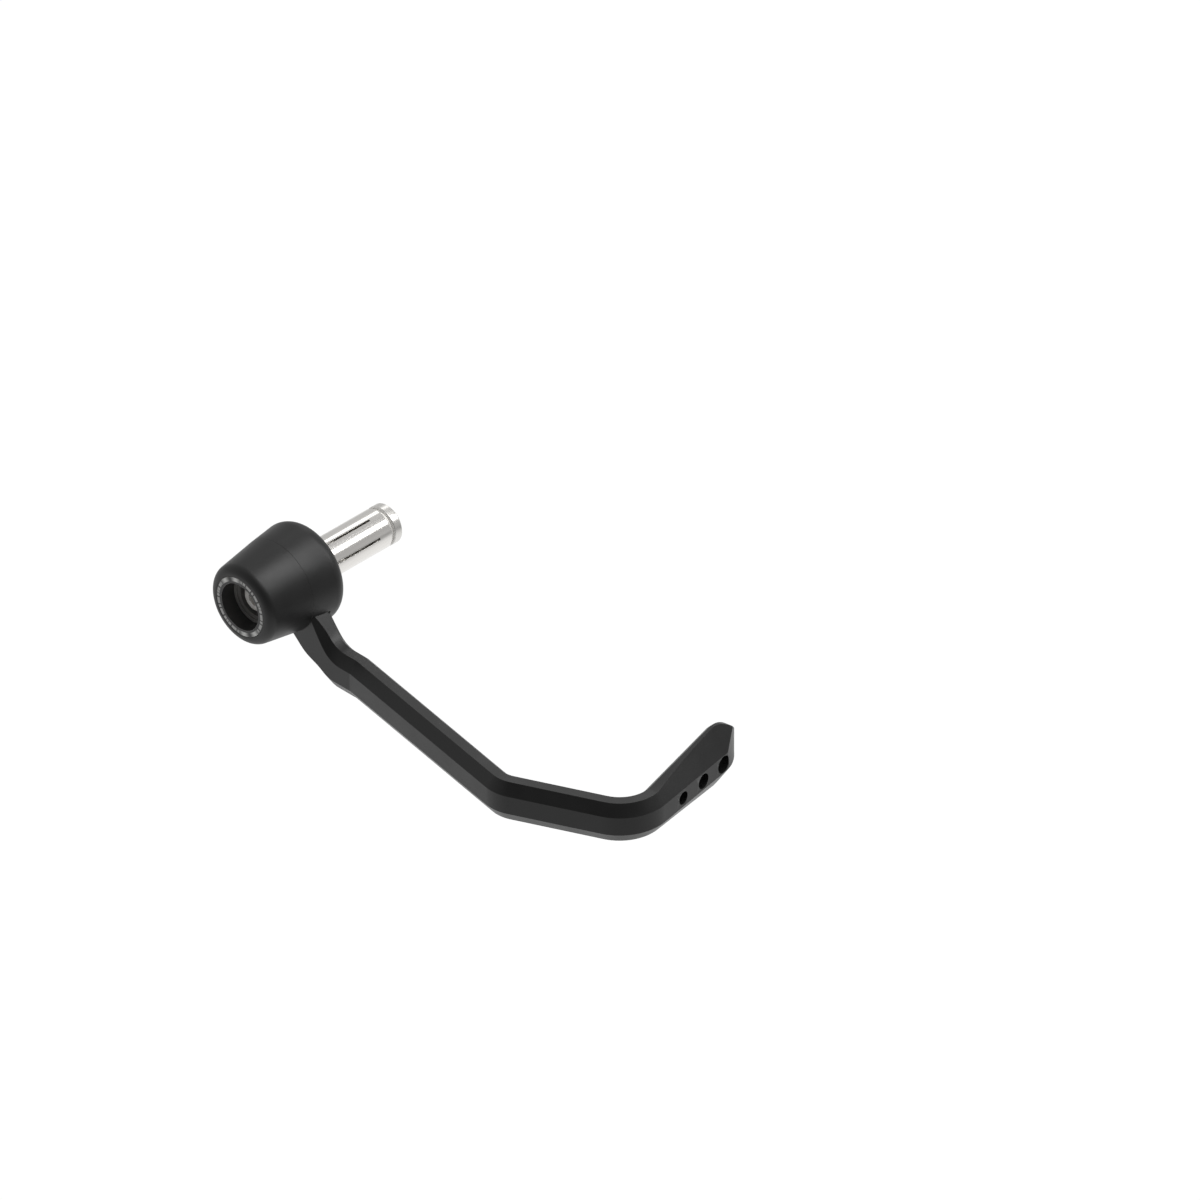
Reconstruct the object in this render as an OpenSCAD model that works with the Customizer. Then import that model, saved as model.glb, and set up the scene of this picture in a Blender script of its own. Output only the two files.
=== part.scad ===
// Brake lever guard for the right hand end of a motorcycle handlebar.
// A moulded blade passes in front of the brake lever and is clamped, with a two part
// bobbin round its hub, to the end of the bar by a bolt that draws a wedge into a
// slotted sleeve inside the bar.
// X runs outward along the bar axis, Y forward, Z up.
// The origin is the centre of the face that seats on the end of the bar.

/* [Bobbin] */
// Length of the whole bobbin, from the bar seat to the nose
bobbin_len = 33.4; // [30:0.1:40]
// Length of the inner half of the bobbin, from the bar seat to the seam
seam_x = 15.5; // [14:0.1:17]
// Diameter of the bobbin at the seam
seam_d = 34; // [32:0.2:40]
// Taper of the outer half's side, in degrees
nose_taper = 8.3; // [4:0.1:10]
// Taper of the inner half's side, in degrees
rear_taper = 6.7; // [3:0.1:9]
// Radius of the round between the side and the seat face
rear_round = 4.8; // [3:0.1:6]
// Radius of the round between the side and the nose face
nose_round = 3.4; // [1:0.1:4]
// Thickness of the nose cone's web under the end bush
web_t = 3; // [2:0.1:5]

/* [End bush] */
// Width of the flat land left on the nose round the bush's flange
nose_land = 0.25; // [0.1:0.05:0.6]
// Thickness of the bush's flange
bush_flange_t = 1.4; // [1:0.1:2]
// Outer diameter of the bush's barrel
bush_d = 19.8; // [19:0.1:20.5]
// Diameter of the open bore in front of the bolt head
mouth_d = 17.4; // [16.8:0.1:18]
// Depth of the open bore, from the nose face to the first step
mouth_depth = 6; // [4:0.1:7]
// Diameter of the second step
step_d = 15.6; // [15:0.1:16]
// Depth of the second step
step_depth = 0.8; // [0.4:0.1:1.2]
// Thickness of the bush's floor under the washer
bush_floor_t = 1; // [0.8:0.1:2]

/* [Clamp bolt] */
// Thread diameter
bolt_d = 6; // [5:0.1:6]
// Head diameter
head_d = 10; // [9:0.1:10.4]
// Head height
head_h = 6; // [4:0.1:6]
// Socket width across flats
socket_af = 5; // [4:0.1:5.5]
// Socket depth
socket_depth = 3.2; // [2:0.1:4]
// Washer diameter
washer_d = 12.4; // [11:0.1:12.6]
// Washer thickness
washer_t = 1.2; // [0.8:0.1:1.6]
// Clearance round the washer in the bush's well
well_gap = 0.5; // [0.2:0.05:0.7]
// How far the bolt's end stays inside the wedge nut's face
bolt_end_recess = 0.5; // [0.2:0.1:1]

/* [Flanged core] */
// Diameter of the core's flange, at the wide end of its seat cone
flange_d = 22.9; // [22:0.1:24.5]
// Thickness of the flange
flange_t = 2.4; // [1.5:0.1:4]
// Length of the seat cone that centres in the mouth of the bar
seat_cone_len = 4; // [3:0.1:5]
// Diameter of the core's barrel
core_d = 12; // [11:0.1:14]

/* [Expander] */
// Outer diameter of the sleeve
sleeve_d = 14.5; // [13.5:0.1:16]
// Length of the sleeve
sleeve_len = 26.6; // [24:0.1:36]
// Wall of the sleeve
sleeve_wall = 1.9; // [1.4:0.1:2.4]
// Gap between the sleeve's ends and the cone and disc that close on it
sleeve_gap = 0.9; // [0.6:0.1:1.5]
// Number of slots
slot_count = 6; // [4:1:8]
// Width of a slot
slot_w = 0.8; // [0.5:0.1:1.2]
// Closed length of the sleeve past the slots, at its far end
closed_len = 5.8; // [3:0.1:8]
// Turn of the first slot from straight up
slot_turn = 15; // [0:1:59]
// Length of the taper that spreads each end of the sleeve
wedge_len = 6; // [4:0.1:9]
// Thickness of the wedge nut's disc
disc_t = 3.8; // [3:0.1:6]
// Chamfer on the edges of the sleeve and the disc
edge_chamfer = 0.5; // [0.2:0.1:0.8]

/* [Blade section] */
// Thickness of the blade
blade_t = 8; // [7:0.1:9]
// Height of the blade
blade_h = 15.2; // [14:0.1:18]
// Width of the flat along the top and bottom
flat_w = 3.7; // [3:0.1:4.5]
// Height of the outer face between its chamfers
face_h = 7; // [6:0.1:9]
// Chamfer on the inner side
inner_chamfer = 1.5; // [0.5:0.1:2]

/* [Blade path] */
// Drop from the bar axis to the middle of the blade
blade_drop = 22.8; // [21:0.1:26]
// Reach from the bar axis to the first bend
root_reach = 34.5; // [33:0.1:45]
// First bend, outward, in degrees
first_bend = 10; // [0:0.5:15]
// Length from the first bend to the second
main_len = 83.1; // [60:0.1:110]
// Second bend, inward, in degrees
second_bend = 35; // [25:0.5:45]
// Radius of the second bend on the blade's centre line
second_bend_r = 11; // [8:0.5:20]
// Length from the second bend to the third
front_len = 47.5; // [35:0.1:60]
// Third bend, inward, in degrees
third_bend = 75; // [60:0.5:85]
// Radius of the third bend on the blade's centre line
third_bend_r = 14.5; // [9:0.5:16]
// Length from the third bend to the tip
tip_len = 57.2; // [54:0.1:70]

/* [Blade root] */
// Diameter of the hub ring
hub_d = 29; // [27:0.1:30]
// Fall of the arm's upper edge, in degrees
upper_fall = 48; // [44:0.5:56]
// Fall of the arm's lower edge, in degrees
lower_fall = 42; // [36:0.5:44]
// Reach at which the line of the upper edge comes down to the blade's top
upper_corner = 24.8; // [24:0.1:28]
// Reach at which the line of the lower edge comes down to the blade's bottom
lower_corner = 22.8; // [22:0.1:25]
// Radius where the upper edge turns level
upper_round = 10; // [4:0.5:12]
// Radius where the lower edge turns level
lower_round = 8; // [6:0.5:18]

/* [Blade tip] */
// Rise of the top edge towards the tip
tip_rise = 4.6; // [0:0.1:7]
// Drop of the bottom edge towards the tip
tip_drop = 4; // [0:0.1:6]
// Width of the upper flat at the widest part of the tip
tip_flat_w = 1.1; // [0.6:0.1:2]
// Width of the lower flat at the widest part of the tip
tip_chin_w = 1.3; // [1:0.1:2]
// Length of the rounded nose of the tip
tip_nose_len = 10.5; // [8:0.1:12]
// Length of the nose before the slanting cut across its outer side starts
tip_cut_lead = 1; // [0.5:0.1:3]
// Thickness left at the end
tip_end_t = 3.9; // [2.4:0.1:4]
// Height of the end face
tip_end_h = 13.2; // [9:0.1:15]
// Number of lightening holes, which grow from the bend to the tip
hole_count = 3; // [1:1:3]
// Diameter of the first hole
hole_d = 4.8; // [3:0.1:5]
// Growth in diameter from one hole to the next
hole_growth = 0.8; // [0:0.1:0.9]
// Distance from the end of the tip to the last hole
hole_end = 12; // [8:0.1:14]
// Distance between hole centres
hole_pitch = 11.7; // [9:0.1:12]

/* [Fits] */
// Radial clearance of the turned parts in their bores
fit = 0.1; // [0.05:0.01:0.2]
// Clearance of the slot round the arm
arm_gap = 0.2; // [0.1:0.05:0.8]

/* [Hidden] */

round_steps = 12;
smooth = 96;

// Places along the bar axis
hub_x = seam_x - blade_t;
bush_x = seam_x + web_t;
washer_x = bush_x + bush_floor_t;
head_x = washer_x + washer_t;
mouth_x = bobbin_len - mouth_depth;
well_r = washer_d / 2 + well_gap;
cone_x = -seat_cone_len;
sleeve_near_x = cone_x - sleeve_gap;
sleeve_far_x = sleeve_near_x - sleeve_len;
disc_x = sleeve_far_x - sleeve_gap;
nut_end_x = disc_x - disc_t;

// Land left on the sleeve's ends, and the radii of the tapers that spread the sleeve,
// at its ends and inside it
end_land = 0.2;
mouth_r = sleeve_d / 2 - edge_chamfer - end_land;
bore_r = sleeve_d / 2 - sleeve_wall;

// Heights of the level part of the blade
top_z = -blade_drop + blade_h / 2;
bottom_z = -blade_drop - blade_h / 2;
upper_foot_z = -blade_drop + face_h / 2;
lower_foot_z = -blade_drop - face_h / 2;

// Points of an arc in a plane, from one angle to another
function arc(centre, r, a0, a1, n = round_steps) =
    [for (k = [0:n]) centre + r * [cos(a0 + (a1 - a0) * k / n), sin(a0 + (a1 - a0) * k / n)]];

// Radius of the bobbin's tapered side at a place along the bar axis
function side_r(x, taper) = seam_d / 2 - tan(taper) * (x - seam_x);

// Centre of the round that joins the side to the seat face or to the nose face
rear_centre = [rear_round, side_r(rear_round, rear_taper) - rear_round / cos(rear_taper)];
nose_centre = [bobbin_len - nose_round,
               side_r(bobbin_len - nose_round, nose_taper) - nose_round / cos(nose_taper)];
bush_flange_r = nose_centre[1] - nose_land - fit;

// A turned piece along the bar axis, from a profile of [x, radius] points
module turned(profile) {
    rotate([0, 90, 0])
        rotate([0, 0, 90])
            rotate_extrude($fn = smooth)
                polygon([for (p = profile) [p[1], p[0]]]);
}

// A cylinder along the bar axis
module along_bar(d, x0, x1) {
    translate([x0, 0, 0])
        rotate([0, 90, 0])
            cylinder(d = d, h = x1 - x0, $fn = smooth);
}

// Outer half of the bobbin: the moulded nose
module nose_cone() {
    color([0.09, 0.09, 0.09])
        turned(concat(
            [[seam_x, core_d / 2 + fit], [seam_x, seam_d / 2]],
            arc(nose_centre, nose_round, 90 - nose_taper, 0),
            [[bobbin_len, bush_flange_r + fit],
             [bobbin_len - bush_flange_t, bush_flange_r + fit],
             [bobbin_len - bush_flange_t, bush_d / 2 + fit],
             [bush_x, bush_d / 2 + fit],
             [bush_x, core_d / 2 + fit]]));
}

// Inner half of the bobbin, with a pocket for the blade's hub and a slot for its arm
module inner_bobbin() {
    color([0.09, 0.09, 0.09])
        difference() {
            turned(concat(
                [[flange_t, core_d / 2 + fit], [flange_t, flange_d / 2 + fit],
                 [0, flange_d / 2 + fit]],
                arc(rear_centre, rear_round, 180, 90 - rear_taper),
                [[seam_x, seam_d / 2], [seam_x, core_d / 2 + fit]]));
            along_bar(hub_d + 2 * fit, hub_x, seam_x + 1);
            arm_slot();
        }
}

// Space that the arm passes through, as wide as the arm and its clearance
module arm_slot() {
    reach = seam_d;
    translate([hub_x, 0, 0])
        rotate([90, 0, 90])
            linear_extrude(blade_t + 1)
                polygon([
                    [arm_start, upper_line(arm_start) + arm_gap / cos(upper_fall)],
                    [reach, upper_line(reach) + arm_gap / cos(upper_fall)],
                    [reach, lower_line(reach) - arm_gap / cos(lower_fall)],
                    [arm_start, lower_line(arm_start) - arm_gap / cos(lower_fall)]]);
}

// Reach at which the arm starts, inside the hub ring
arm_start = 3;

// Heights of the arm's upper and lower edges where they run straight
function upper_line(y) = top_z + tan(upper_fall) * (upper_corner - y);
function lower_line(y) = bottom_z + tan(lower_fall) * (lower_corner - y);

// Height of a line that falls to a level and is rounded off where it meets it
function rounded_fall(y, level, corner, fall, r) =
    let (t = r * tan(fall / 2), y0 = corner - t * cos(fall), y1 = corner + t)
    y <= y0 ? level + tan(fall) * (corner - y)
    : y >= y1 ? level
    : level + r - sqrt(r * r - (y1 - y) * (y1 - y));

function upper_edge(y) = rounded_fall(y, top_z, upper_corner, upper_fall, upper_round);
function lower_edge(y) = rounded_fall(y, bottom_z, lower_corner, lower_fall, lower_round);

// Growth of the chamfers from nothing inside the bobbin to full size along the arm
bare_reach = 11;
full_reach = 22;
function grown(y) = let (u = min(1, max(0, (y - bare_reach) / (full_reach - bare_reach))))
    u * u * (3 - 2 * u);

// Plan of the blade's centre line: direction of each leg and the corners between them
legs = [root_reach, main_len, front_len, tip_len];
turns = [-first_bend, second_bend, third_bend];
function heading(i) = i == 0 ? 90 : heading(i - 1) + turns[i - 1];
function dir(a) = [cos(a), sin(a)];
function corner(i) = i == 0 ? [seam_x - blade_t / 2, 0]
    : corner(i - 1) + legs[i - 1] * dir(heading(i - 1));

// Stations of the centre line, each a point in plan and the heading there
function on_leg(i, s) = [corner(i) + s * dir(heading(i)), heading(i)];
function on_bend(i, r, n) =
    let (turn = turns[i - 1], t = r * tan(turn / 2), a = heading(i - 1),
         centre = corner(i) - t * dir(a) + r * dir(a + 90))
    [for (k = [0:n]) [centre + r * dir(a - 90 + turn * k / n), a + turn * k / n]];

// One section of the blade: eight points on the outline at a station.
// outs are the places of the lower and upper foot across the blade, z the heights of the
// bottom, lower foot, upper foot and top, edges the outer edges of the bottom and top
// flats, in the inner chamfer and cut what the end's chamfer takes off the inner side
function section(st, outs, z, edges, in, cut = 0) =
    let (h = blade_t / 2, side = dir(st[1] - 90),
         outline = [[cut - h, z[0] + in], [cut - h, z[3] - in], [in - h, z[3]],
                    [edges[1], z[3]], [outs[1], z[2]], [outs[0], z[1]], [edges[0], z[0]],
                    [in - h, z[0]]])
    [for (p = outline) [st[0][0] + p[0] * side[0], st[0][1] + p[0] * side[1], p[1]]];

level = [bottom_z, lower_foot_z, upper_foot_z, top_z];
full_t = [blade_t / 2, blade_t / 2];
flat_edge = inner_chamfer + flat_w - blade_t / 2;

// Sections of the arm, which falls from the hub and grows its chamfers on the way
small = 0.3;
arm_steps = 30;
function arm_section(y) =
    let (g = grown(y), top = upper_edge(y), bottom = lower_edge(y),
         in = small + (inner_chamfer - small) * g,
         edge = blade_t / 2 - small + (flat_edge - blade_t / 2 + small) * g,
         foot = small + ((blade_h - face_h) / 2 - small) * g)
    section(on_leg(0, y), full_t, [bottom, bottom + foot, top - foot, top], [edge, edge], in);
arm_sections = [for (k = [0:arm_steps - 1])
    arm_section(arm_start + (root_reach - arm_start) * k / arm_steps)];

// Sections of the level part, with a crease at the first bend and two round bends
second_steps = 8;
third_steps = 16;
crease = [corner(1), heading(0) - first_bend / 2];
level_sections = [for (st = concat([crease], on_bend(2, second_bend_r, second_steps),
                                   on_bend(3, third_bend_r, third_steps)))
    section(st, full_t, level, [flat_edge, flat_edge], inner_chamfer)];

// Sections of the tip, which spreads above and below and ends in a rounded nose. The
// upper flat narrows fast at first. On the nose it widens again, because it falls along
// the plane of the outer chamfer. A slanting cut takes off the outer side of the nose. It
// is flat at its upper edge and hollow at its lower edge. The powers give the roundness of
// the nose's top and lower outer side and of its underside.
nose_power = 2;
chin_power = 3.2;
end_bevel = 0.3;
end_chamfer = 1;
chin_narrowing = 0.8;
flare_start = third_bend_r * tan(third_bend / 2);
nose_start = tip_len - tip_nose_len;
function tip_section(s) =
    let (u = min(1, (s - flare_start) / (nose_start - flare_start)),
         v = max(0, (s - nose_start) / tip_nose_len),
         w = max(0, (s - nose_start - tip_cut_lead) / (tip_nose_len - tip_cut_lead)),
         rise = tip_rise * u, drop = tip_drop * u,
         fall = (tip_rise + (blade_h - tip_end_h) / 2) * pow(v, nose_power),
         lift = (tip_drop + (blade_h - tip_end_h) / 2) * pow(v, chin_power),
         top = top_z + rise - fall,
         taken = (blade_t - tip_end_t) * w,
         low_out = blade_t / 2 - (blade_t - tip_end_t) * pow(v, nose_power),
         high_out = blade_t / 2 - taken,
         edge = flat_edge + (tip_flat_w - flat_w) * (1 - (1 - u) * (1 - u)),
         chin_edge = flat_edge + (tip_chin_w - flat_w) * u - chin_narrowing * v,
         slope = ((blade_h - face_h) / 2 + rise) / (blade_t / 2 - edge))
    section(on_leg(3, s), [low_out, high_out],
            [bottom_z - drop + lift, lower_foot_z,
             min(upper_foot_z + taken * slope, top - end_bevel), top],
            [chin_edge, min(edge + fall / slope, high_out - end_bevel)], inner_chamfer,
            max(0, s - tip_len + end_chamfer));

// Stations of the tip: the flare, then the nose with one at the start of the cut and one
// at the start of the end's chamfer
flare_steps = 6;
nose_steps = 8;
nose_stations = concat(
    [0],
    [for (k = [0:nose_steps])
        tip_cut_lead + (tip_nose_len - end_chamfer - tip_cut_lead) * k / nose_steps],
    [tip_nose_len]);
tip_sections = concat(
    [for (k = [1:flare_steps - 1])
        tip_section(flare_start + (nose_start - flare_start) * k / flare_steps)],
    [for (s = nose_stations) tip_section(nose_start + s)]);

// Solid through a list of sections, closed at both ends
module loft(sections) {
    n = len(sections[0]);
    rings = len(sections);
    polyhedron(
        points = [for (s = sections) for (p = s) p],
        faces = concat(
            [[for (k = [0:n - 1]) k]],
            [for (r = [0:rings - 2]) for (k = [0:n - 1]) each [
                [r * n + k, (r + 1) * n + k, (r + 1) * n + (k + 1) % n],
                [r * n + k, (r + 1) * n + (k + 1) % n, r * n + (k + 1) % n]]],
            [[for (k = [n - 1:-1:0]) (rings - 1) * n + k]]));
}

// The moulded blade: hub ring, arm and the bent guard with its spread tip
module guard_blade() {
    color([0.12, 0.12, 0.12])
        difference() {
            union() {
                loft(concat(arm_sections, level_sections, tip_sections));
                along_bar(hub_d, hub_x, seam_x);
            }
            along_bar(core_d + 2 * fit, hub_x - 1, seam_x + 1);
            tip_holes();
        }
}

// Cutters of the lightening holes, square to the tip's outer face
module tip_holes() {
    for (k = [0:hole_count - 1]) {
        st = on_leg(3, tip_len - hole_end - (hole_count - 1 - k) * hole_pitch);
        translate([st[0][0], st[0][1], -blade_drop])
            rotate([0, 0, st[1]])
                rotate([90, 0, 0])
                    cylinder(d = hole_d + k * hole_growth, h = 3 * blade_t, center = true,
                             $fn = smooth);
    }
}

// Black anodised bush that lines the nose and carries the bolt head
module end_bush() {
    color([0.07, 0.07, 0.08])
        turned([
            [bush_x, bolt_d / 2 + fit], [bush_x, bush_d / 2],
            [bobbin_len - bush_flange_t, bush_d / 2],
            [bobbin_len - bush_flange_t, bush_flange_r],
            [bobbin_len, bush_flange_r], [bobbin_len, mouth_d / 2],
            [mouth_x, mouth_d / 2], [mouth_x, step_d / 2],
            [mouth_x - step_depth, step_d / 2], [mouth_x - step_depth, well_r],
            [washer_x, well_r], [washer_x, bolt_d / 2 + fit]]);
}

// Flat washer under the bolt head
module washer() {
    color([0.6, 0.6, 0.6])
        turned([[washer_x, bolt_d / 2 + fit], [washer_x, washer_d / 2],
                [head_x, washer_d / 2], [head_x, bolt_d / 2 + fit]]);
}

// Socket cap bolt that draws the wedge nut into the sleeve
module clamp_bolt() {
    round_edge = 0.6;
    color([0.65, 0.65, 0.66])
        difference() {
            turned([[nut_end_x + bolt_end_recess, 0],
                    [nut_end_x + bolt_end_recess, bolt_d / 2 - round_edge],
                    [nut_end_x + bolt_end_recess + round_edge, bolt_d / 2],
                    [head_x, bolt_d / 2], [head_x, head_d / 2],
                    [head_x + head_h - round_edge, head_d / 2],
                    [head_x + head_h, head_d / 2 - round_edge], [head_x + head_h, 0]]);
            translate([head_x + head_h - socket_depth, 0, 0])
                rotate([0, 90, 0])
                    cylinder(d = socket_af / cos(30), h = head_h, $fn = 6);
        }
}

// Aluminium core: its cone centres in the mouth of the bar, its barrel carries the blade
// and the bobbin, and its spigot spreads the near end of the sleeve
module flanged_core() {
    color([0.8, 0.8, 0.79])
        turned([
            [sleeve_near_x - wedge_len, bolt_d / 2 + fit], [sleeve_near_x - wedge_len, bore_r - fit],
            [sleeve_near_x, mouth_r - fit], [cone_x, mouth_r - fit], [cone_x, sleeve_d / 2],
            [0, flange_d / 2], [flange_t, flange_d / 2], [flange_t, core_d / 2],
            [bush_x, core_d / 2], [bush_x, bolt_d / 2 + fit]]);
}

// Slotted sleeve that grips inside the bar, tapered inside at both ends. The start of the
// turned surface lies an eighth of a pitch to one side of a slot.
module expander_sleeve() {
    chamfer_r = sleeve_d / 2 - edge_chamfer;
    seam_turn = 45 / slot_count;
    color([0.78, 0.77, 0.75])
        difference() {
            rotate([seam_turn, 0, 0])
                turned([
                    [sleeve_near_x, mouth_r], [sleeve_near_x, chamfer_r],
                    [sleeve_near_x - edge_chamfer, sleeve_d / 2],
                    [sleeve_far_x + edge_chamfer, sleeve_d / 2],
                    [sleeve_far_x, chamfer_r], [sleeve_far_x, mouth_r],
                    [sleeve_far_x + wedge_len, bore_r], [sleeve_near_x - wedge_len, bore_r]]);
            for (k = [0:slot_count - 1])
                rotate([-slot_turn - k * 360 / slot_count, 0, 0])
                    translate([sleeve_far_x + closed_len, -slot_w / 2, bolt_d / 2])
                        cube([sleeve_len - closed_len + 1, slot_w, sleeve_d / 2]);
        }
}

// Wedge nut: a threaded disc with a taper that spreads the far end of the sleeve
module wedge_nut() {
    chamfer_r = sleeve_d / 2 - edge_chamfer;
    color([0.8, 0.79, 0.77])
        turned([
            [nut_end_x, bolt_d / 2], [nut_end_x, chamfer_r],
            [nut_end_x + edge_chamfer, sleeve_d / 2], [disc_x - edge_chamfer, sleeve_d / 2],
            [disc_x, chamfer_r], [disc_x, mouth_r - fit], [sleeve_far_x, mouth_r - fit],
            [sleeve_far_x + wedge_len, bore_r - fit], [sleeve_far_x + wedge_len, bolt_d / 2]]);
}

nose_cone();
inner_bobbin();
guard_blade();
end_bush();
washer();
clamp_bolt();
flanged_core();
expander_sleeve();
wedge_nut();
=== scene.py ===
import math

import bpy
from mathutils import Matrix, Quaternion, Vector


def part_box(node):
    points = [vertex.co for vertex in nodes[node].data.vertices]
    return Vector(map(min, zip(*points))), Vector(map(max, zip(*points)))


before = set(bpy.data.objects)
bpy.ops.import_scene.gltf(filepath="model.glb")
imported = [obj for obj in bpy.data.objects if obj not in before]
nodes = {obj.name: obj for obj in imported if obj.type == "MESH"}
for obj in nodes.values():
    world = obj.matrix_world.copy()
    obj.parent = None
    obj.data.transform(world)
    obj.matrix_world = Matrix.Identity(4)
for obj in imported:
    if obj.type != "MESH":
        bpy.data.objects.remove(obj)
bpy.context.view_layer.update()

# Camera
# The guard is seen in true isometric, from outside, in front and above. A very long lens
# far away keeps parallel edges parallel. The guard sits left of and below the middle.
view_back = Vector((1, 1, 1)).normalized()
looked_at = Vector((-0.0435, 0.0931, 0.0110))
lens_mm = 1200
sensor_mm = 36
frame_width = 0.4
camera_distance = frame_width * lens_mm / sensor_mm

camera = bpy.data.objects.new("camera", bpy.data.cameras.new("camera"))
bpy.context.scene.collection.objects.link(camera)
camera.data.lens = lens_mm
camera.data.sensor_width = sensor_mm
camera.data.clip_start = 1
camera.data.clip_end = 60
camera.location = looked_at + view_back * camera_distance
camera.rotation_mode = "QUATERNION"
camera.rotation_quaternion = (-view_back).to_track_quat("-Z", "Y")
bpy.context.scene.camera = camera
bpy.context.scene.view_settings.view_transform = "Standard"


# Room, light and floor
# The guard hangs over a plain white floor, under soft lamps above, in front and behind.
# The walls are a soft grey, darker on the side that the guard's outer face looks to.
class Wire:
    """An output of a node. Sums and products of wires add Math nodes to its tree."""

    def __init__(self, socket):
        self.socket = socket

    def node(self, kind, settings=None, inputs=None, output=0):
        """Adds a node of any kind to the tree. Its settings go first, then its inputs."""
        made = self.socket.id_data.nodes.new(kind)
        for name, value in (settings or {}).items():
            setattr(made, name, value)
        for name, value in (inputs or {}).items():
            if isinstance(value, Wire):
                self.socket.id_data.links.new(value.socket, made.inputs[name])
            else:
                made.inputs[name].default_value = value
        return Wire(made.outputs[output])

    def beside(self, name):
        """Another output of the same node."""
        return Wire(self.socket.node.outputs[name])

    def math(self, operation, other):
        return self.node("ShaderNodeMath", {"operation": operation}, {0: self, 1: other})

    def vector_math(self, operation, *others, output=0):
        """Output 0 is a vector. Output 1 is a number, such as a length or a product."""
        terms = dict(enumerate((self, *others)))
        return self.node("ShaderNodeVectorMath", {"operation": operation}, terms, output)

    def __add__(self, other):
        return self.math("ADD", other)

    __radd__ = __add__

    def __mul__(self, other):
        return self.math("MULTIPLY", other)

    __rmul__ = __mul__

    def __sub__(self, other):
        return self.math("SUBTRACT", other)

    def __rsub__(self, other):
        return self.node("ShaderNodeMath", {"operation": "SUBTRACT"}, {0: other, 1: self})

    def between(self, low, high, to_low=0.0, to_high=1.0):
        """Goes smoothly from one value to another while this wire goes from low to high."""
        return self.node("ShaderNodeMapRange", {"interpolation_type": "SMOOTHSTEP"},
                         {"Value": self, "From Min": low, "From Max": high,
                          "To Min": to_low, "To Max": to_high})

    def blend(self, low, high):
        """Goes from one colour to another while this wire goes from 0 to 1."""
        return self.node("ShaderNodeMix", {"data_type": "RGBA"},
                         {0: self, 6: low, 7: high}, output=2)


def new_tree(owner, space):
    """Empties a node tree and gives the wire of the place in a space of its owner."""
    owner.use_nodes = True
    owner.node_tree.nodes.clear()
    return Wire(owner.node_tree.nodes.new("ShaderNodeTexCoord").outputs[space])


def end_tree(shader, output_kind):
    """Makes a shader the surface of its tree."""
    tree = shader.socket.id_data
    output = tree.nodes.new(output_kind)
    tree.links.new(shader.socket, output.inputs["Surface"])


def grey(tone):
    return (tone, tone, tone, 1)


# The walls darken in two steps towards the camera's side, which the outer face looks to
pale_wall = 0.56
grey_wall = 0.43
dark_wall = 0.17
world = bpy.data.worlds.new("studio")
bpy.context.scene.world = world
direction = new_tree(world, "Generated")
camera_ray = direction.node("ShaderNodeLightPath")
facing = direction.vector_math("DOT_PRODUCT", view_back, output=1)
wall_tone = (facing.between(0, 0.3, pale_wall, grey_wall)
             - facing.between(0.45, 0.85, 0, grey_wall - dark_wall))
background = direction.node("ShaderNodeBackground",
                            inputs={"Color": grey(1), "Strength": wall_tone.math("MAXIMUM", camera_ray)})
end_tree(background, "ShaderNodeOutputWorld")


def soft_lamp(name, towards, distance, size, radiance, roll=0):
    """A lamp of a given width and height that faces the guard and shines evenly."""
    lamp = bpy.data.lights.new(name, "AREA")
    lamp.shape = "RECTANGLE"
    lamp.size, lamp.size_y = size
    lamp.energy = math.pi * size[0] * size[1] * radiance
    holder = bpy.data.objects.new(name, lamp)
    bpy.context.scene.collection.objects.link(holder)
    holder.location = looked_at + Vector(towards).normalized() * distance
    holder.rotation_mode = "QUATERNION"
    turned = Quaternion((0, 0, 1), math.radians(roll))
    holder.rotation_quaternion = Vector(towards).to_track_quat("Z", "Y") @ turned


soft_lamp("top_lamp", towards=(-0.15, 0.2, 0.97), distance=1.5, size=(0.85, 0.85), radiance=4.4)
soft_lamp("front_lamp", towards=(-0.577, 0.48, 0.66), distance=1.5, size=(1.1, 0.46), radiance=4.0,
          roll=-35)
soft_lamp("back_lamp", towards=(-0.577, -0.54, 0.61), distance=1.8, size=(0.9, 0.42), radiance=1.1,
          roll=60)

floor_z = -0.28
floor_half = 30
floor_corners = [(-floor_half, -floor_half, floor_z), (floor_half, -floor_half, floor_z),
                 (floor_half, floor_half, floor_z), (-floor_half, floor_half, floor_z)]
floor_mesh = bpy.data.meshes.new("floor")
floor_mesh.from_pydata(floor_corners, [], [(0, 1, 2, 3)])
floor = bpy.data.objects.new("floor", floor_mesh)
bpy.context.scene.collection.objects.link(floor)
floor_paint = bpy.data.materials.new("floor_white")
floor_mesh.materials.append(floor_paint)

# In metal and gloss the floor shows a pale pool of light that fades to its far tones
pool_middle = (-0.15, -0.35, 0)
pool_edge = 0.4
pool_end = 1.5
pool_tone = 0.95
tone_behind = 0.62
tone_in_front = 0.36
tone_reach = 1.5
seen_white = 1.06
glow_part = 0.9
place = new_tree(floor_paint, "Object")
camera_ray = place.node("ShaderNodeLightPath")
mirror_ray = camera_ray.beside("Is Glossy Ray").math("MAXIMUM", camera_ray.beside("Is Transmission Ray"))
forward = place.node("ShaderNodeSeparateXYZ", inputs={"Vector": place}, output=1)
far_tone = forward.between(-tone_reach, tone_reach, tone_behind, tone_in_front)
pool = place.vector_math("DISTANCE", pool_middle, output=1).between(pool_edge, pool_end, 1, 0)
mirrored_tone = far_tone + pool * (pool_tone - far_tone)
shown_tone = mirrored_tone.math("MAXIMUM", seen_white * camera_ray)
matt = place.node("ShaderNodeBsdfDiffuse", inputs={"Color": grey(0.9)})
glow = place.node("ShaderNodeEmission", inputs={"Color": grey(1), "Strength": shown_tone})
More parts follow.
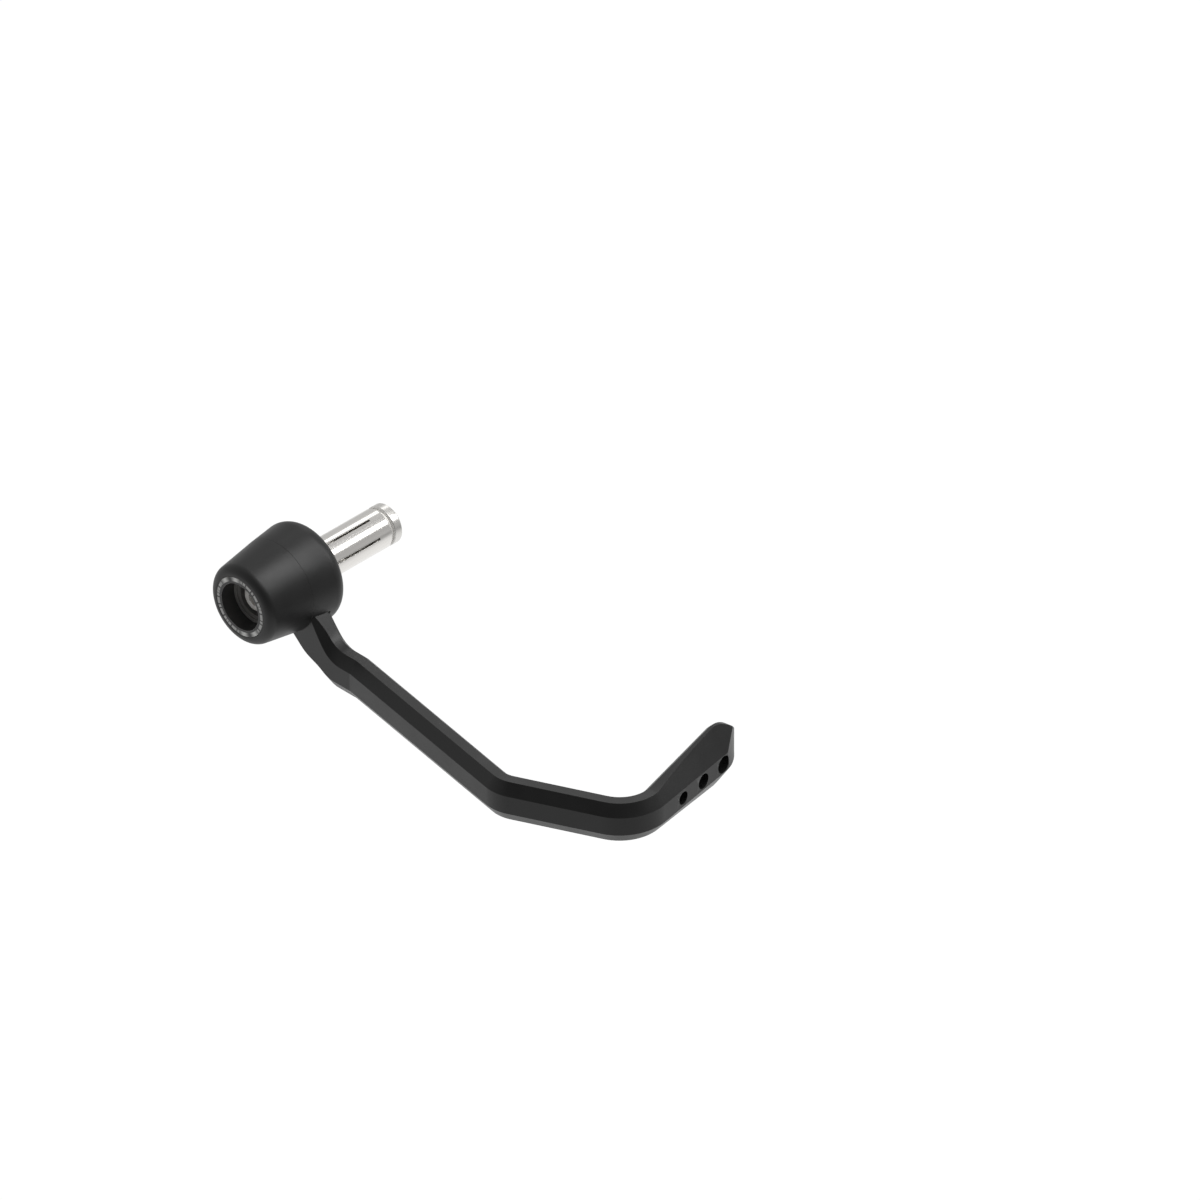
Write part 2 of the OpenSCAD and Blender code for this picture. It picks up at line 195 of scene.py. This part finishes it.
glow_share = glow_part * camera_ray.math("MAXIMUM", mirror_ray)
lit = place.node("ShaderNodeMixShader", inputs={0: glow_share, 1: matt, 2: glow})
from_below = place.node("ShaderNodeNewGeometry").beside("Backfacing")
clear = place.node("ShaderNodeBsdfTransparent")
end_tree(place.node("ShaderNodeMixShader", inputs={0: from_below, 1: lit, 2: clear}),
         "ShaderNodeOutputMaterial")


# Flanged core
# The core is turned from aluminium bar. Its cone seats in the mouth of the bar, and the
# blade and both halves of the bobbin are threaded on its barrel.
def new_finish(name):
    """A new material, and the wire of the place on the piece in metres."""
    material = bpy.data.materials.new(name)
    return material, new_tree(material, "Object")


def put_on(node_name, material):
    """Gives a piece its finish in place of the plain one."""
    mesh = nodes[node_name].data
    mesh.materials.clear()
    mesh.materials.append(material)


def soften(node_name, width, angle=25):
    """Rounds the sharp edges of a piece by a small width. Welds keep its mesh closed."""
    piece = nodes[node_name]
    piece.modifiers.new("weld", "WELD").merge_threshold = 2e-6
    bevel = piece.modifiers.new("soft_edges", "BEVEL")
    bevel.limit_method = "ANGLE"
    bevel.angle_limit = math.radians(angle)
    bevel.width = width
    bevel.segments = 2
    piece.modifiers.new("close_up", "WELD").merge_threshold = 4e-6
    piece.modifiers.new("true_faces", "WEIGHTED_NORMAL")


def noise(place, scale, detail=3):
    """Soft noise from 0 to 1 at a scale in spots per metre."""
    return place.node("ShaderNodeTexNoise", inputs={"Vector": place, "Scale": scale, "Detail": detail})


def spread(spots, low, high):
    """Soft noise, which is mostly from 0.3 to 0.7, spread over a range of values."""
    return spots.between(0.3, 0.7, low, high)


def along_and_radius(place):
    """The place along the bar axis and the distance from it, in metres."""
    along = place.node("ShaderNodeSeparateXYZ", inputs={"Vector": place})
    radius = place.vector_math("MULTIPLY", (0, 1, 1)).vector_math("LENGTH", output=1)
    return along, radius


def lathe_lines(along, radius, scale):
    """Fine rings from 0 to 1 round the bar axis, as the tool of a lathe leaves them."""
    return noise(along.node("ShaderNodeCombineXYZ", inputs={0: along, 1: radius}), scale, detail=2)


def finish_with(place, colour, roughness, bump, bump_depth, metallic=0.0, specular=0.5):
    """Ends the material that a place belongs to with its shader."""
    normal = place.node("ShaderNodeBump", inputs={"Height": bump, "Distance": bump_depth, "Strength": 1.0})
    shader = place.node("ShaderNodeBsdfPrincipled",
                        inputs={"Base Color": colour, "Roughness": roughness, "Metallic": metallic,
                                "Specular IOR Level": specular, "Normal": normal})
    end_tree(shader, "ShaderNodeOutputMaterial")


dull_aluminium = (0.62, 0.62, 0.62, 1)
pale_aluminium = (0.74, 0.74, 0.73, 1)
aluminium, place = new_finish("turned_aluminium")
feed_lines = lathe_lines(*along_and_radius(place), scale=2200)
patches = noise(place, scale=140)
finish_with(place, patches.blend(dull_aluminium, pale_aluminium),
            roughness=spread(patches, 0.34, 0.42) + 0.1 * feed_lines, metallic=1.0,
            bump=feed_lines, bump_depth=6e-6)
put_on("flanged_core", aluminium)
soften("flanged_core", width=0.00012)

# Expander sleeve
# The sleeve is bright turned steel, split by six slots from the end at the core. Drawn
# over the tapers at its ends it spreads and grips the bar from inside.
dull_steel = (0.82, 0.8, 0.77, 1)
pale_steel = (0.92, 0.9, 0.87, 1)
drawn_out = (0.04, 1, 1)
steel, place = new_finish("bright_steel")
draw_lines = noise(place.vector_math("MULTIPLY", drawn_out), scale=900, detail=2)
feed_lines = lathe_lines(*along_and_radius(place), scale=1800)
finish_with(place, draw_lines.blend(dull_steel, pale_steel),
            roughness=spread(draw_lines, 0.14, 0.17) + 0.02 * feed_lines, metallic=1.0,
            bump=draw_lines, bump_depth=3e-7)
put_on("expander_sleeve", steel)
soften("expander_sleeve", width=0.00008)

# Wedge nut
# A steel disc with a taper behind it, tapped through for the bolt. It is faced in the
# lathe, so its end shows fine rings, and the taper is left dull.
dull_face = (0.74, 0.725, 0.7, 1)
pale_face = (0.84, 0.825, 0.795, 1)
disc_thickness = 0.0038
taper_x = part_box("wedge_nut")[0][0] + disc_thickness
faced, place = new_finish("faced_steel")
along, radius = along_and_radius(place)
rings = lathe_lines(along, radius, scale=2600)
patches = noise(place, scale=160)
taper = along.between(taper_x - 0.0006, taper_x - 0.0001)
finish_with(place, patches.blend(dull_face, pale_face),
            roughness=spread(patches, 0.22, 0.26) + 0.04 * rings + 0.3 * taper,
            metallic=1 - 0.7 * taper, bump=rings, bump_depth=3e-7)
put_on("wedge_nut", faced)
soften("wedge_nut", width=0.0001)


# Guard blade
# The blade is moulded in black glass filled nylon, with wide chamfers and crisp edges. It
# is matt, with a fine grain from the mould and slightly paler edges.
def edge_mask(place, radius):
    """One along the outer edges of a piece and zero on its flat faces."""
    rounded = place.node("ShaderNodeBevel", {"samples": 4}, {"Radius": radius})
    true = place.node("ShaderNodeNewGeometry").beside("Normal")
    same = rounded.vector_math("DOT_PRODUCT", true, output=1)
    return (1 - same).between(0.01, 0.12)


def black_nylon(name, grain_scale, cloud_scale, tones, roughness, specular):
    """Moulded nylon with a fine grain, and a worn edge that is paler and smoother."""
    nylon, place = new_finish(name)
    clouds = noise(place, cloud_scale, detail=4)
    edge = edge_mask(place, radius=0.0004)
    dark, pale = tones
    finish_with(place, (0.6 * clouds + 0.4 * edge).blend(grey(dark), grey(pale)),
                roughness=spread(clouds, *roughness) - 0.05 * edge,
                bump=noise(place, grain_scale), bump_depth=3e-6, specular=specular)
    return nylon


blade_nylon = black_nylon("blade_nylon", grain_scale=2500, cloud_scale=90, tones=(0.004, 0.013),
                          roughness=(0.34, 0.4), specular=0.47)
put_on("guard_blade", blade_nylon)
soften("guard_blade", width=0.00018, angle=18)

# Inner half of the bobbin
# Moulded in black nylon, it seats against the end of the bar and has a pocket for the
# blade's hub. Its skin is a little duller than the blade's.
bobbin_nylon = black_nylon("bobbin_nylon", grain_scale=2200, cloud_scale=110, tones=(0.005, 0.014),
                           roughness=(0.4, 0.47), specular=0.48)
put_on("inner_bobbin", bobbin_nylon)
soften("inner_bobbin", width=0.00008)

# Nose cone
# The outer half of the bobbin is the same moulded nylon. It covers the blade's hub and
# takes the end bush in its nose.
put_on("nose_cone", bobbin_nylon)
soften("nose_cone", width=0.00008)

# End bush
# A turned aluminium cup, black anodised. Its edges are paler, partly from wear and partly as a
# painted highlight where the steps catch light. The floor of the bore round the bolt head is
# painted paler, as painted light in place of its shade. Its flange lies flush in the nose and
# carries a ring of short white marks with four bold bars.
black_dye = (0.014, 0.014, 0.015, 1)
worn_and_lit_dye = (0.32, 0.31, 0.3, 1)
white_ink = (0.8, 0.8, 0.78, 1)
border = 0.0001
bore_depth = 0.006
face_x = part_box("end_bush")[1][0]
flange_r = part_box("end_bush")[1][1]
anodised, place = new_finish("black_anodised")
along, radius = along_and_radius(place)
turn = along.beside("Z").math("ARCTAN2", along.beside("Y"))
rings = lathe_lines(along, radius, scale=2600)
on_face = along.between(face_x - border, face_x - border / 2)
# Painted light: one on the floor of the bore round the bolt head, which is painted paler in place of the
# shade there
painted_light_in_bore = along.between(face_x - bore_depth, face_x - bore_depth + 2 * border, 1, 0)


def ring_band(inset, width):
    """One on a ring of the flange's face, inset from its rim, with soft borders."""
    outer = flange_r - inset
    inner = outer - width
    return (radius.between(inner - border, inner + border)
            * radius.between(outer - border, outer + border, 1, 0) * on_face)


def bars(count, share, start):
    """One on bars spaced evenly round the axis, which fill a share of the ring."""
    half_step = math.pi / count
    soft_share = 0.08
    place_in_step = (turn - math.radians(start)).math("PINGPONG", half_step)
    return place_in_step.between(half_step * (share - soft_share), half_step * (share + soft_share), 1, 0)


bold_bars = bars(count=2, share=0.085, start=133).math("MAXIMUM", bars(count=2, share=0.085, start=101))
bold = bold_bars * ring_band(inset=0.0001, width=0.0015)
fine_bars = bars(count=46, share=0.6, start=0).math("MAXIMUM", bars(count=29, share=0.4, start=5))
fine_arcs = bars(count=2, share=0.71, start=27)
fine = fine_bars * ring_band(inset=0.0003, width=0.0011) * fine_arcs
marks = (0.55 * fine).math("MAXIMUM", 0.85 * bold)
# Partly painted light: paler edges are part wear, part painted highlight; the bore's floor is painted
# paler as painted light; the rest off the face is a little paler
wear_and_painted_light = edge_mask(place, radius=0.0002) + 0.46 * painted_light_in_bore + 0.07 * (1 - on_face)
finish_with(place, marks.blend(wear_and_painted_light.blend(black_dye, worn_and_lit_dye), white_ink),
            roughness=0.3 + 0.1 * rings + 0.2 * marks, bump=rings, bump_depth=4e-6)
put_on("end_bush", anodised)
soften("end_bush", width=0.00008)

# Washer
# A stamped steel washer that spreads the load of the bolt head on the bush's floor. It
# has the same zinc plate as the bolt, which is painted darker down in the bolt's socket as painted shade.
dull_zinc = (0.85, 0.83, 0.79, 1)
pale_zinc = (0.96, 0.94, 0.9, 1)
shaded_socket_zinc = (0.72, 0.71, 0.69, 1)
socket_flat_r = 0.0024
socket_corner_r = 0.0029
shank_end_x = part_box("end_bush")[0][0]
zinc, place = new_finish("zinc_plate")
along, radius = along_and_radius(place)
in_head = along.between(shank_end_x - 0.001, shank_end_x - 0.0005)
# Painted shade: the zinc is painted darker down in the bolt's socket
painted_socket_shade = radius.between(socket_flat_r, socket_corner_r, 1, 0) * in_head
patches = noise(place, scale=500)
plate = patches.blend(dull_zinc, pale_zinc)
finish_with(place, painted_socket_shade.blend(plate, shaded_socket_zinc), roughness=spread(patches, 0.38, 0.48),
            metallic=0.2, bump=noise(place, scale=3000), bump_depth=4e-6)
put_on("washer", zinc)
soften("washer", width=0.00008)

# Clamp bolt
# A socket cap bolt with the same zinc plate, forged, with a hexagon socket. It runs
# through every other piece into the wedge nut.
put_on("clamp_bolt", zinc)
soften("clamp_bolt", width=0.00008)
